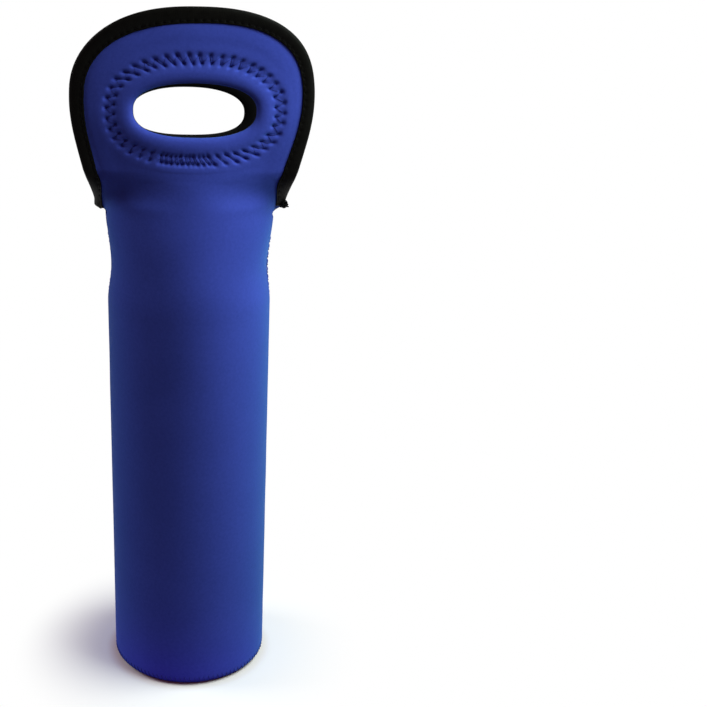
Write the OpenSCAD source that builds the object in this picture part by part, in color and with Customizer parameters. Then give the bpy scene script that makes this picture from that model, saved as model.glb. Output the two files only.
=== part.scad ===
// Insulated bottle carrier of foam rubber sheet: a round sewn sleeve with a flat base,
// whose front and back panels run on upward into two flaps, each with an oval grip hole.
// The origin is at the middle of the underside, +Z is up and the front flap faces -Y.

/* [Sleeve] */
// Outside diameter of the sleeve
sleeve_d = 82.5; // [74:0.5:92]
// Thickness of the foam rubber sheet
wall = 3; // [2:0.1:4]
// Height of the straight part, up to the shoulder
straight_h = 205; // [150:1:240]
// Height from the shoulder up to the waist
waist_rise = 19; // [14:0.5:30]
// How far the waist draws in on each side
waist_in = 2; // [0:0.1:4]
// Height from the waist up to the end of the side seams
mouth_rise = 27; // [20:0.5:36]
// How far the mouth stands outside the sleeve on each side
mouth_out = 0.4; // [0:0.1:2]

/* [Base] */
// Thickness of the round base panel
base_t = 3; // [2:0.1:4]
// Rounding of its lower edge
base_edge_r = 2; // [0.5:0.1:3]

/* [Flaps] */
// Height from the end of the side seams up to the fold line
fold_rise = 20; // [14:0.5:26]
// Height of a flap above its fold line
flap_h = 79; // [77.5:0.5:95]
// How much lower the back flap's hole and top sit than the front's
back_low = 6; // [0:0.1:6.6]
// Height of the rounded top above the widest place
crown_h = 42; // [34:0.5:46]
// Width of a flap over its binding at the widest place
flap_w = 115.6; // [104:0.2:124]
// How far the bound edges stand outside the sleeve where the seams end
neck_out = 5.8; // [3:0.1:7]
// Height over which the edges turn outward above the seam ends
flare_rise = 5; // [3:0.5:8]
// Width of the strip that turns outward
flare_w = 12; // [8:0.5:16]
// Distance over both flaps at the fold line
fold_gap = 67; // [62:0.5:74]
// Distance over both flaps at their tops
top_gap = 50; // [44:0.5:60]
// Height above the fold line at which a flap has settled into its shallow bow
settle_rise = 4; // [0:0.5:8]
// How far a flap's side edges lie behind its middle there
fold_bow = 10; // [5:0.2:12]
// The same at the top
top_bow = 6; // [3:0.2:9]
// Thickness of the lining inside each flap
lining_t = 1.8; // [1:0.1:2.5]
// Furthest that a flap leans in toward the other, in degrees
lean_in = 12; // [5:1:14]

/* [Grips] */
// Distance from a side of a grip hole out to the flap's edge, over the binding
grip_side = 28.8; // [24:0.1:34]
// Height of a grip hole
grip_h = 24.4; // [20:0.2:27]
// Height from the middle of the hole up to the top of the flap
grip_drop = 46.3; // [42:0.1:48]
// Distance from the hole's edge out to the middle of the stitching
grip_stitch_out = 10.7; // [7:0.1:11.8]
// Width of the zigzag stitching
grip_stitch_w = 4.2; // [3:0.1:5]

/* [Edges and seams] */
// Width of the binding tape on each face
binding_w = 6.2; // [5:0.1:7.5]
// Thickness of the binding tape
binding_t = 0.8; // [0.5:0.05:1.2]
// Distance from the tape's inner edge to its row of stitches
binding_stitch_in = 1.4; // [1:0.1:2]
// Width of the flat seams
seam_w = 5; // [4:0.1:6]
// How far the seam threads stand proud
seam_t = 0.6; // [0.4:0.05:0.8]
// Length of the bar tack at the top of each side seam
tack_l = 8; // [6:0.5:10]

/* [Hidden] */

// Clearances: between sewn pieces, under the ring of stitches, between a sheet's edge and the
// fold of its tape, between the two panels, added to that where they turn outward, and across a fold
sewn_gap = 0.1;
ring_gap = 0.2;
edge_gap = 0.25;
panel_gap = 0.2;
parting_gap = 0.9;
fold_clear = 0.3;
// How far the fixed ends of the binding stop short of the fold line
end_short = 4.4;
// Extra room inside the binding and inside those ends, where the sheet is curved
tape_slack = 0.2;
end_slack = 0.4;
// Thickness of a line of thread, and the width of a row of straight stitches
thread_t = 0.4;
thread_w = 0.9;

// Heights of the sections
waist_z = straight_h + waist_rise;
mouth_z = waist_z + mouth_rise;
fold_z = mouth_z + fold_rise;
flat_z = fold_z + settle_rise;

// How far the top of the side that is being made sits below the front's. to_back() sets it.
$low = 0;
function top_z() = fold_z + flap_h - $low;
function widest_z() = top_z() - crown_h;
function grip_z() = top_z() - grip_drop;

sleeve_r = sleeve_d / 2;
mouth_r = sleeve_r + mouth_out;
flap_half = flap_w / 2;
flap_t = wall + lining_t;
edge_in = binding_t + edge_gap;
grip_w = flap_w - 2 * grip_side;
// Slope of the flaps, which lean together toward their tops
flap_slope = (fold_gap - top_gap) / 2 / flap_h;

// Powers of the rounded outlines, the opening angle of a flap's shallow bow, and how much of the
// tape's height is left at its fold
crown_power = 2.4;
grip_power = 2.35;
bow_angle = 36;
fold_share = 0.72;
lean_margin = 2;
angle_step = 0.25;

// Counts of points along the sheets
panel_count = 28;
side_count = 8;
crown_count = 26;
foot_count = 14;
ring_count = 4;
oval_count = 48;
turn_count = 96;

function mix(a, b, t) = a + (b - a) * t;
function clamp(v, low, high) = max(low, min(high, v));
function unit(v) = v / norm(v);
// Eased step from 0 at a to 1 at b
function ease(a, b, z) = let (t = clamp((z - a) / (b - a), 0, 1)) t * t * (3 - 2 * t);

// Radius of the sewn sleeve at height z
function sleeve_radius(z) =
    z < waist_z ? sleeve_r - waist_in * ease(straight_h, waist_z, z)
                : mix(sleeve_r - waist_in, mouth_r, ease(waist_z, mouth_z, z));

// Half the width over the binding, from the seam ends up to the widest place
function bound_half(z) =
    let (turn = 180 * clamp((z - mouth_z) / (widest_z() - mouth_z), 0, 1))
    mix(mouth_r + neck_out, flap_half, (1 - cos(turn)) / 2);

// The sheet's section at height z: half its chord, its opening angle, and how far forward
// its middle and its side edges lie
function chord(z) =
    z <= mouth_z ? sleeve_radius(z)
                 : mix(mouth_r, bound_half(min(z, widest_z())) - edge_in, ease(mouth_z, fold_z, z));
function opening(z) = mix(90, bow_angle, ease(mouth_z, flat_z, z));
function middle_y(z) =
    z <= straight_h ? -sleeve_r
    : z <= fold_z ? shoulder_y((z - straight_h) / (fold_z - straight_h))
                  : mix(-fold_gap / 2, -top_gap / 2, (z - fold_z) / flap_h);
// The middle leaves the sleeve upright and meets the flap at its slope, along one smooth curve
function shoulder_y(t) =
    -sleeve_r + (sleeve_r - fold_gap / 2) * t * t * (3 - 2 * t)
    + flap_slope * (fold_z - straight_h) * t * t * (t - 1);
function edge_y(z) =
    let (flat_y = middle_y(flat_z) + fold_bow)
    z <= flat_z ? mix(0, flat_y, ease(mouth_z, flat_z, z))
                : mix(flat_y, top_bow - top_gap / 2, (z - flat_z) / (flap_h - settle_rise));

// Near the fold line the section is bell-shaped: round in the middle, with flatter sides
function bell(z) = ease(mouth_z + flare_rise, flat_z, z) * (1 - ease(fold_z, grip_z(), z));

// Above the seam ends the side edges turn outward like a flange, least near the fold line
function flare(z, a) =
    let (out = (bound_half(z) - edge_in - chord(z)) * ease(mouth_z, mouth_z + flare_rise, z),
         near = 1 - clamp((opening(z) - abs(a)) * PI / 180 * mouth_r / flare_w, 0, 1))
    z <= mouth_z || z >= fold_z ? 0 : sign(a) * out * near * near;

// A point d inside the outer face of the front sheet, at height z and at the angle a on its
// section, and the inward direction there
function on_face(z, a) =
    let (across = sin(a) / sin(opening(z)),
         back = mix((1 - cos(a)) / (1 - cos(opening(z))), (1 - cos(180 * across)) / 2, bell(z)))
    [chord(z) * across + flare(z, a), middle_y(z) + (edge_y(z) - middle_y(z)) * back, z];
function inward(z, a) =
    let (t = on_face(z, a + angle_step) - on_face(z, a - angle_step)) unit([-t[1], t[0], 0]);
function at_angle(z, a, d) = on_face(z, a) + d * inward(z, a);
// The same at the sideways distance x
function section_angle(x, z) = asin(clamp(x / chord(z) * sin(opening(z)), -1, 1));
function at_x(x, z, d) = at_angle(z, section_angle(x, z), d);

// A closed solid between two grids of points with equal rows. Each row is open, or a ring.
// A ring's rows run outward from its hole, and its grid on the far side comes first.
module slab(outer, inner, ring = false) {
    rows = len(outer);
    cols = len(outer[0]);
    last = ring ? cols - 1 : cols - 2;
    points = [for (g = [outer, inner]) for (r = g) for (p = r) p];
    function at(g, j, i) = g * rows * cols + j * cols + i % cols;
    faces = concat(
        [for (j = [0 : rows - 2]) for (i = [0 : last]) for (f = [
            [at(0, j, i), at(0, j + 1, i), at(0, j, i + 1)],
            [at(0, j, i + 1), at(0, j + 1, i), at(0, j + 1, i + 1)],
            [at(1, j, i), at(1, j, i + 1), at(1, j + 1, i)],
            [at(1, j, i + 1), at(1, j + 1, i + 1), at(1, j + 1, i)]]) f],
        [for (i = [0 : last]) for (f = [
            [at(0, 0, i), at(0, 0, i + 1), at(1, 0, i)],
            [at(0, 0, i + 1), at(1, 0, i + 1), at(1, 0, i)],
            [at(0, rows - 1, i), at(1, rows - 1, i), at(0, rows - 1, i + 1)],
            [at(0, rows - 1, i + 1), at(1, rows - 1, i), at(1, rows - 1, i + 1)]]) f],
        ring ? [] : [for (j = [0 : rows - 2]) for (f = [
            [at(0, j, 0), at(1, j, 0), at(0, j + 1, 0)],
            [at(0, j + 1, 0), at(1, j, 0), at(1, j + 1, 0)],
            [at(0, j, cols - 1), at(0, j + 1, cols - 1), at(1, j, cols - 1)],
            [at(0, j + 1, cols - 1), at(1, j + 1, cols - 1), at(1, j, cols - 1)]]) f]);
    polyhedron(points, faces);
}

// A solid swept through flat sections of equal point counts, with its ends closed
module swept(sections) {
    cols = len(sections[0]);
    rows = len(sections);
    faces = concat(
        [for (j = [0 : rows - 2]) for (i = [0 : cols - 1]) let (k = (i + 1) % cols) for (f = [
            [j * cols + i, (j + 1) * cols + i, j * cols + k],
            [j * cols + k, (j + 1) * cols + i, (j + 1) * cols + k]]) f],
        [[for (i = [0 : cols - 1]) i]],
        [[for (i = [cols - 1 : -1 : 0]) (rows - 1) * cols + i]]);
    polyhedron([for (s = sections) for (p = s) p], faces);
}

// The front half of the sleeve with the lower band of its flap, up to the fold line
panel_heights = concat(
    [base_t],
    [for (k = [0 : 3]) mix(straight_h, waist_z, k / 4)],
    [for (k = [0 : 5]) mix(waist_z, mouth_z, k / 6)],
    [for (k = [0 : 8]) mix(mouth_z, fold_z, k / 8)]);
function panel_row(z, d) =
    let (gap = panel_gap + parting_gap * ease(mouth_z - tack_l, mouth_z, z),
         cut = opening(z) * gap / (sleeve_d + wall))
    [for (k = [0 : panel_count]) at_angle(z, mix(-1, 1, k / panel_count) * (opening(z) - cut), d)];
module panel() {
    slab([for (z = panel_heights) panel_row(z, 0)], [for (z = panel_heights) panel_row(z, wall)]);
}

// The flap's lower edge is cut on a slant, so that it can lean in without closing on the band
function foot_z(x, d) =
    fold_z + fold_clear + (at_x(x, fold_z, d)[1] + fold_gap / 2) * tan(lean_in + lean_margin);

// Half the width of the sheet inside its binding, and the points of the flap's outline
function rim_side(z, side) = [side * (bound_half(z) - edge_in), z];
function rim_crown(a) =
    [(flap_half - edge_in) * sign(cos(a)) * pow(abs(cos(a)), 2 / crown_power),
     widest_z() + (crown_h - edge_in) * pow(abs(sin(a)), 2 / crown_power)];
function foot_half() = bound_half(fold_z) - edge_in;
function side_z(k, d) = mix(foot_z(foot_half(), d), widest_z(), k / side_count);
function rim(d) = concat(
    [for (k = [0 : foot_count - 1]) let (x = mix(-1, 1, k / foot_count) * foot_half()) [x, foot_z(x, d)]],
    [for (k = [0 : side_count - 1]) rim_side(side_z(k, d), 1)],
    [for (k = [0 : crown_count - 1]) rim_crown(180 * k / crown_count)],
    [for (k = [side_count : -1 : 1]) rim_side(side_z(k, d), -1)]);

// A point of the oval round the grip hole, out from its edge, in the direction of the angle a
function oval(a, out) =
    let (w = grip_w / 2 + out, h = grip_h / 2 + out,
         r = pow(pow(abs(cos(a)) / w, grip_power) + pow(abs(sin(a)) / h, grip_power), -1 / grip_power))
    [r * cos(a), grip_z() + r * sin(a)];

// One layer of the flap, between the depths d0 and d1, with the hole through it. Its edges
// are cut square to the sheet, which leans.
function flap_grid(d) =
    let (edge = rim(d), drop = (d - flap_t / 2) * flap_slope)
    [for (j = [0 : ring_count]) [for (p = edge)
        let (hole = oval(atan2(p[1] - grip_z(), p[0]), 0), q = mix(hole, p, j / ring_count))
        at_x(q[0], q[1] - drop, d)]];
module flap_layer(d0, d1) {
    slab(flap_grid(d1), flap_grid(d0), ring = true);
}

// The middle of a sheet of thickness t at a point of the outline, and a frame there: its
// origin, the direction in from the edge along the sheet, and the direction across it
function edge_point(p, t) = at_x(p[0], p[1], t / 2);
function edge_frame(line, k, t) =
    let (a = line[max(k - 1, 0)], b = line[min(k + 1, len(line) - 1)], run = unit(b - a),
         p = edge_point(line[k], t), q = edge_point(line[k] + binding_w * [-run[1], run[0]], t))
    [p, unit(q - p), unit(cross(q - p, edge_point(b, t) - edge_point(a, t)))];
function tape_section(half) = [
    [binding_w, -half], [0, -half], [-edge_in, -half * fold_share], [-edge_in, half * fold_share],
    [0, half], [binding_w, half], [binding_w, half - binding_t], [-edge_gap, half - binding_t],
    [-edge_gap, binding_t - half], [binding_w, binding_t - half]];
function thread_section(v, side) = [
    [binding_w - binding_stitch_in, v], [binding_w - binding_stitch_in - thread_w, v],
    [binding_w - binding_stitch_in - thread_w, v + side * thread_t],
    [binding_w - binding_stitch_in, v + side * thread_t]];
function along(line, section, t) = [for (k = [0 : len(line) - 1])
    let (f = edge_frame(line, k, t)) [for (s = section) f[0] + f[1] * s[0] + f[2] * s[1]]];

// Outline followed by the binding of the moving flap, up one side, over the top and down
function bound_line() = concat(
    [for (k = [0 : side_count - 1]) rim_side(side_z(k, flap_t + edge_in), 1)],
    [for (k = [0 : crown_count]) rim_crown(180 * k / crown_count)],
    [for (k = [side_count - 1 : -1 : 0]) rim_side(side_z(k, flap_t + edge_in), -1)]);
tape_half = flap_t / 2 + binding_t + sewn_gap + tape_slack;
module binding() { swept(along(bound_line(), tape_section(tape_half), flap_t)); }
module binding_stitching() {
    line = bound_line();
    swept(along(line, thread_section(tape_half + sewn_gap, 1), flap_t));
    swept([for (s = along(line, thread_section(-tape_half - sewn_gap, -1), flap_t))
        [for (i = [3 : -1 : 0]) s[i]]]);
}

// The lower ends of the binding, on the fixed band between the seam ends and the fold line
end_count = 6;
end_half = wall / 2 + binding_t + sewn_gap + end_slack;
end_low = mouth_z + flare_rise;
end_high = fold_z - end_short;
function end_line(side) = [for (k = [0 : end_count])
    let (z = mix(end_low, end_high, k / end_count)) [side * chord(z), z]];
module binding_ends() {
    swept(along(end_line(1), tape_section(end_half), wall));
    mirror([1, 0, 0]) swept(along(end_line(1), tape_section(end_half), wall));
}

// A band of thread round the grip hole, between the depths d0 and d1
module oval_band(d0, d1) {
    function row(out, d) = [for (k = [0 : oval_count - 1])
        let (p = oval(360 * k / oval_count, out)) at_x(p[0], p[1], d)];
    near = grip_stitch_out - grip_stitch_w / 2;
    far = grip_stitch_out + grip_stitch_w / 2;
    slab([row(near, d1), row(far, d1)], [row(near, d0), row(far, d0)], ring = true);
}
module grip_stitching() {
    oval_band(-ring_gap - thread_t, -ring_gap);
    oval_band(flap_t + ring_gap, flap_t + ring_gap + thread_t);
}

module to_back() {
    $low = back_low;
    rotate([0, 0, 180]) children();
}

// Round bottom panel, with its lower edge rounded
module base_panel() {
    color("mediumblue") rotate_extrude($fn = turn_count) {
        square([sleeve_r - base_edge_r, base_t]);
        translate([0, base_edge_r]) square([sleeve_r, base_t - base_edge_r]);
        intersection() {
            translate([sleeve_r - base_edge_r, base_edge_r]) circle(base_edge_r, $fn = turn_count);
            square([sleeve_r, base_t]);
        }
    }
}

// Flat seam of overlock thread round the base
module base_seam() {
    color("navy") translate([0, 0, base_edge_r]) difference() {
        cylinder(h = seam_w, r = sleeve_r + sewn_gap + seam_t, $fn = turn_count);
        translate([0, 0, -seam_w]) cylinder(h = 3 * seam_w, r = sleeve_r + sewn_gap, $fn = turn_count);
    }
}

// Flat seam up one side, which follows the sleeve's outline from the base seam to the mouth
seam_foot = base_edge_r + seam_w + sewn_gap;
seam_heights = concat([seam_foot], [for (z = panel_heights) if (z > seam_foot && z < mouth_z) z],
                      [mouth_z - tack_l - sewn_gap]);
module side_seam() {
    half = asin(seam_w / sleeve_d);
    heights = [for (z = seam_heights) if (z <= mouth_z - tack_l - sewn_gap) z];
    inner = [for (z = heights) [sleeve_radius(z) + sewn_gap, z]];
    rotate([0, 0, -half]) rotate_extrude(angle = 2 * half, $fn = turn_count)
        polygon(concat(inner, [for (k = [len(inner) - 1 : -1 : 0]) inner[k] + [seam_t, 0]]));
}

// Dense stitching that locks the top of a side seam
module bar_tack() {
    half = asin((seam_w + thread_w) / sleeve_d);
    low = mouth_z - tack_l;
    rotate([0, 0, -half]) rotate_extrude(angle = 2 * half, $fn = turn_count)
        polygon([[sleeve_radius(low) + sewn_gap, low], [mouth_r + sewn_gap, mouth_z],
                 [mouth_r + sewn_gap + seam_t, mouth_z], [sleeve_radius(low) + sewn_gap + seam_t, low]]);
}

module left_side_seam() { color("navy") mirror([1, 0, 0]) side_seam(); }
module right_side_seam() { color("navy") side_seam(); }
module left_bar_tack() { color("black") mirror([1, 0, 0]) bar_tack(); }
module right_bar_tack() { color("black") bar_tack(); }

module front_panel() { color("mediumblue") panel(); }
module back_panel() { color("mediumblue") to_back() panel(); }
module front_binding_ends() { color("black") binding_ends(); }
module back_binding_ends() { color("black") to_back() binding_ends(); }

module front_flap() { color("mediumblue") flap_layer(0, wall); }
module front_lining() { color("dimgray") flap_layer(wall + sewn_gap, flap_t); }
module front_binding() { color("black") binding(); }
module front_binding_stitching() { color("gray") binding_stitching(); }
module front_grip_stitching() { color("navy") grip_stitching(); }
module back_flap() { color("mediumblue") to_back() flap_layer(0, wall); }
module back_lining() { color("dimgray") to_back() flap_layer(wall + sewn_gap, flap_t); }
module back_binding() { color("black") to_back() binding(); }
module back_binding_stitching() { color("gray") to_back() binding_stitching(); }
module back_grip_stitching() { color("navy") to_back() grip_stitching(); }

base_panel();
base_seam();
front_panel();
back_panel();
left_side_seam();
right_side_seam();
left_bar_tack();
right_bar_tack();
front_binding_ends();
back_binding_ends();
front_flap();
front_lining();
front_binding();
front_binding_stitching();
front_grip_stitching();
back_flap();
back_lining();
back_binding();
back_binding_stitching();
back_grip_stitching();
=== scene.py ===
import math

import bmesh
import bpy
import numpy as np
from mathutils import Euler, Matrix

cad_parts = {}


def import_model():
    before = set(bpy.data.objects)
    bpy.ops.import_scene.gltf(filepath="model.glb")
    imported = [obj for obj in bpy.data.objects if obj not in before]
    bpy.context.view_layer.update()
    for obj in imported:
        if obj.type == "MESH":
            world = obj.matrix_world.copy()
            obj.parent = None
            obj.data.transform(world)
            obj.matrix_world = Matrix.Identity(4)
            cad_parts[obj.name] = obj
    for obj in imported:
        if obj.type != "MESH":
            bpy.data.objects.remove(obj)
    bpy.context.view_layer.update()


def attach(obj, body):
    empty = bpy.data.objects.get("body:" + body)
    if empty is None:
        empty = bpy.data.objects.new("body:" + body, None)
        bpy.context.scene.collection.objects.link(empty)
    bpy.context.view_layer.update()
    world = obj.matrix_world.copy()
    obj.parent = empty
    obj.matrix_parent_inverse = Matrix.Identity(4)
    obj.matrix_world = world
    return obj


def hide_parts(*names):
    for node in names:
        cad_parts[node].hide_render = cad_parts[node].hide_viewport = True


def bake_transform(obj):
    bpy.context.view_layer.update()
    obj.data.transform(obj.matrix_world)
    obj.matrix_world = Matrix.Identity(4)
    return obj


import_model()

# Lengths are in millimetres until a mesh is made, where MM turns them into metres. The floor, the
# lamps and the camera are in metres.
MM = 0.001

# Sizes of the carrier. They are the solids' own, apart from small changes for the looks.
SLEEVE_R, MOUTH_R, WAIST_IN = 41.25, 41.65, 2.0
STRAIGHT_Z, WAIST_Z, MOUTH_Z, FOLD_Z, WIDEST_Z, TOP_Z = 205.0, 224.0, 251.0, 271.0, 308.0, 350.0
FLAP_HALF, CROWN_H, CROWN_POWER = 57.8, 42.0, 2.4
NECK_OUT, FLARE_RISE, FLARE_DIP, FLARE_W = 5.8, 3.0, 1.0, 12.0
FOLD_GAP, TOP_GAP, FOLD_BOW, TOP_BOW = 67.0, 50.0, 10.0, 6.0
# Height at which a flap's section has settled into its shallow bow, and that bow's half angle
FLAT_Z = 275.0
BOW_ANGLE = math.radians(36)
# How far above the mouth the section starts to turn bell-shaped
BELL_RISE = 5.0
# Slope of the flaps, which lean together toward their tops
SLOPE = (FOLD_GAP - TOP_GAP) / 2 / (TOP_Z - FOLD_Z)
WALL, LINING_T, EDGE_IN = 3.0, 1.8, 0.9
FLAP_T = WALL + LINING_T
GRIP_HALF_W, GRIP_HALF_H, GRIP_Z = 29.0, 12.2, 303.7
# Powers of the hole's rounded outline above and below its middle
GRIP_POWER, LOW_POWER = 2.25, 2.6
# How much lower the back flap's hole and top sit, and the height by which they are all the way down
BACK_LOW, LOW_Z = 7.0, 279.0
# Middle, inner row and outer row of the ring of stitches, out from the hole, and its pitch
RING_OUT, RING_IN_ROW, RING_OUT_ROW, RING_PITCH = 10.7, 8.8, 12.7, 4.7
# Pitch of the side seams, and how far their pits lie in from the side edge
SEAM_PITCH, SEAM_ROW = 4.0, 2.4
# Upper and lower end of the stitches at the base
BASE_STITCH_TOP, BASE_STITCH_LOW = 5.0, 1.6


def mix(a, b, t):
    return a + (b - a) * t


def ease(a, b, v):
    """Smooth step from 0 at a to 1 at b."""
    t = np.clip((v - a) / (b - a), 0, 1)
    return t * t * (3 - 2 * t)


def unit(v):
    return v / np.maximum(np.linalg.norm(v, axis=-1, keepdims=True), 1e-9)


def bump(v, middle, half):
    """Smooth hill of height 1."""
    return np.cos(np.clip((v - middle) / half, -1, 1) * np.pi / 2) ** 2


def run_along(line):
    """Length along a line of 2-D points, at each of them."""
    return np.concatenate([[0], np.cumsum(np.linalg.norm(np.diff(line, axis=0), axis=1))])


# The sheet: the front half of the sleeve and its flap

def sleeve_radius(z):
    """Outside radius of the sleeve, which has a slight waist near its top."""
    low = SLEEVE_R - WAIST_IN * ease(STRAIGHT_Z, WAIST_Z, z)
    high = mix(SLEEVE_R - WAIST_IN, MOUTH_R, ease(WAIST_Z, MOUTH_Z, z))
    return np.where(z < WAIST_Z, low, high)


def bound_half(z):
    """Half the width of a flap over its bound edge, up to its widest place."""
    turn = np.clip((z - MOUTH_Z) / (WIDEST_Z - MOUTH_Z), 0, 1)
    return mix(MOUTH_R + NECK_OUT, FLAP_HALF, (1 - np.cos(np.pi * turn)) / 2)


def chord(z):
    """Half the straight width of one side's section."""
    above = mix(MOUTH_R, bound_half(np.minimum(z, WIDEST_Z)) - EDGE_IN, ease(MOUTH_Z, FOLD_Z, z))
    return np.where(z <= MOUTH_Z, sleeve_radius(z), above)


def opening(z):
    """Half the angle that a section's arc spans: half a circle in the sleeve, a shallow bow above."""
    return mix(np.pi / 2, BOW_ANGLE, ease(MOUTH_Z, FLAT_Z, z))


def middle_y(z):
    """Where the middle of a section lies, front to back."""
    t = np.clip((z - STRAIGHT_Z) / (FOLD_Z - STRAIGHT_Z), 0, 1)
    rise = (SLEEVE_R - FOLD_GAP / 2) * t * t * (3 - 2 * t) + SLOPE * (FOLD_Z - STRAIGHT_Z) * t * t * (t - 1)
    return rise - SLEEVE_R + SLOPE * np.maximum(z - FOLD_Z, 0)


def edge_y(z):
    """Where the side edges of a section lie, front to back."""
    flat = FOLD_BOW - FOLD_GAP / 2 + SLOPE * (FLAT_Z - FOLD_Z)
    neck = mix(0, flat, ease(MOUTH_Z, FLAT_Z, z))
    flap = mix(flat, TOP_BOW - TOP_GAP / 2, (z - FLAT_Z) / (TOP_Z - FLAT_Z))
    return np.where(z <= FLAT_Z, neck, flap)


def bell(z):
    """Near the fold the section is bell-shaped: round in the middle, with flatter sides."""
    return ease(MOUTH_Z + BELL_RISE, FLAT_Z, z) * (1 - ease(FOLD_Z, GRIP_Z, z))


def face(z, a):
    """Points of the outer face at heights z and at the angles a on each section."""
    z, a = np.broadcast_arrays(np.asarray(z, float), np.asarray(a, float))
    half, last, middle = chord(z), opening(z), middle_y(z)
    # Near the mouth the side edges flare out
    flare = ease(MOUTH_Z - FLARE_DIP, MOUTH_Z + FLARE_RISE, z)
    out = (bound_half(z) - EDGE_IN - half) * flare
    near = 1 - np.clip((last - np.abs(a)) * MOUTH_R / FLARE_W, 0, 1)
    across = np.sin(a) / np.sin(last)
    back = mix((1 - np.cos(a)) / (1 - np.cos(last)), (1 - np.cos(np.pi * across)) / 2, bell(z))
    x = half * across + np.sign(a) * np.maximum(out, 0) * near ** 2
    return np.stack([x, middle + (edge_y(z) - middle) * back, z], -1)


def normal(z, a):
    """Outward direction of the outer face."""
    step_z, step_a = 0.3, 0.012
    across = face(z, a + step_a) - face(z, a - step_a)
    up = face(z + step_z, a) - face(z - step_z, a)
    return unit(np.cross(across, up))


def angle_at(x, z):
    """Angle on the section at height z of the point that lies x from the middle."""
    return np.arcsin(np.clip(x / chord(z) * np.sin(opening(z)), -1, 1))


def walk_in(z, w):
    """Angle on the section at height z, the length w in from its side edge along the cloth."""
    last = opening(z)
    step = 0.01

    def rate(a):
        return np.linalg.norm(face(z, a + step) - face(z, a - step), axis=-1) / (2 * step)

    first = last - w / rate(last - 2 * step)
    return last - w / rate((last + first) / 2 - step)


# The rounded outlines

def oval_radius(a, out):
    w, h = GRIP_HALF_W + out, GRIP_HALF_H + out
    power = np.where(np.sin(a) > 0, GRIP_POWER, LOW_POWER)
    return (np.abs(np.cos(a) / w) ** power + np.abs(np.sin(a) / h) ** power) ** (-1 / power)


def oval(a, out):
    """Points of the hole's outline widened by out, at the angles a round its middle."""
    r = oval_radius(a, out)
    return r * np.cos(a), GRIP_Z + r * np.sin(a)


def crown(a):
    """Points of the flap's rounded top, from its right end at a = 0 to its left end at a = pi."""
    x = (FLAP_HALF - EDGE_IN) * np.sign(np.cos(a)) * np.abs(np.cos(a)) ** (2 / CROWN_POWER)
    return x, WIDEST_Z + (CROWN_H - EDGE_IN) * np.abs(np.sin(a)) ** (2 / CROWN_POWER)


def even(line, count):
    """count points spaced evenly along a line of 2-D points."""
    run = run_along(line)
    at = np.linspace(0, run[-1], count)
    return np.stack([np.interp(at, run, line[:, i]) for i in range(2)], 1)


CROWN_LINE = np.stack(crown(np.linspace(0, np.pi, 2001)), 1)


def side_line(low, count):
    """Points of the right side edge, from the height low up to the widest place."""
    z = np.linspace(low, WIDEST_Z, count)
    return np.stack([chord(z), z], 1)


# The two sides of the carrier. The back is the front turned half round. sway is how far the
# flap's top leans aside, crown_sway is how far its rounded top leans over on top of that, grip_x is
# how far its hole sits off the middle, and low is how far its hole and top sit down. tape_ends are
# the heights of the tape's right and left end.
SIDES = {
    "front": {"turn": 1, "sway": 2.4, "crown_sway": 2.2, "grip_x": 1.2, "low": 0.0, "seed": 3,
              "tape_ends": (253.8, 252.2)},
    "back": {"turn": -1, "sway": 0.4, "crown_sway": 0.0, "grip_x": 0.3, "low": BACK_LOW, "seed": 8,
             "tape_ends": (252.8, 253.6)},
}
# Height from which the rounded top leans over
CROWN_SWAY_Z = WIDEST_Z + 6


def place(side, points):
    """From the side's own frame in millimetres to the shared frame in metres."""
    p = np.array(points, float)
    p[..., 0] += side["sway"] * np.maximum((p[..., 2] - WAIST_Z) / (TOP_Z - WAIST_Z), 0)
    p[..., 0] += side["crown_sway"] * ease(CROWN_SWAY_Z, TOP_Z, p[..., 2])
    down = side["low"] * ease(MOUTH_Z, LOW_Z, p[..., 2])
    p[..., 1] -= SLOPE * down
    p[..., 2] -= down
    return p * [side["turn"] * MM, side["turn"] * MM, MM]


# Meshes

def grid(rows, cols, start=0, closed=False):
    """Faces over rows of points, each row joined to the next. closed joins a row's ends too."""
    j, i = np.meshgrid(np.arange(rows - 1), np.arange(cols if closed else cols - 1), indexing="ij")
    k = (i + 1) % cols
    corners = [j * cols + i, j * cols + k, (j + 1) * cols + k, (j + 1) * cols + i]
    return (start + np.stack(corners, -1)).reshape(-1, 4)


def strip(a, b):
    """Faces between two equal rows of point numbers."""
    return np.stack([a[:-1], a[1:], b[1:], b[:-1]], 1)


def make(name, points, faces, materials, uv=None, slots=None):
    """A smooth mesh object from points in metres. uv holds one pair a point, in millimetres."""
    mesh = bpy.data.meshes.new(name)
    points = np.asarray(points).reshape(-1, 3)
    mesh.from_pydata(points.tolist(), [], [list(map(int, f)) for f in faces])
    if slots is not None:
        mesh.polygons.foreach_set("material_index", np.asarray(slots, np.int32))
    for m in materials:
        mesh.materials.append(m)
    b = bmesh.new()
    b.from_mesh(mesh)
    bmesh.ops.recalc_face_normals(b, faces=b.faces)
    b.to_mesh(mesh)
    b.free()
    if uv is None:
        uv = points[:, [0, 2]] / MM
    layer = mesh.uv_layers.new(name="cloth")
    index = np.empty(len(mesh.loops), np.int32)
    mesh.loops.foreach_get("vertex_index", index)
    layer.data.foreach_set("uv", np.asarray(uv, np.float32).reshape(-1, 2)[index].ravel())
    mesh.polygons.foreach_set("use_smooth", np.ones(len(mesh.polygons), bool))
    mesh.update()
    obj = bpy.data.objects.new(name, mesh)
    bpy.context.scene.collection.objects.link(obj)
    return obj


def strand(count, shoulder=0.9):
    """Thickness along a strand as shares of its full one: thin where it dives into the cloth."""
    return np.array([0.6, shoulder] + [1] * (count - 4) + [shoulder, 0.6])


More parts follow.
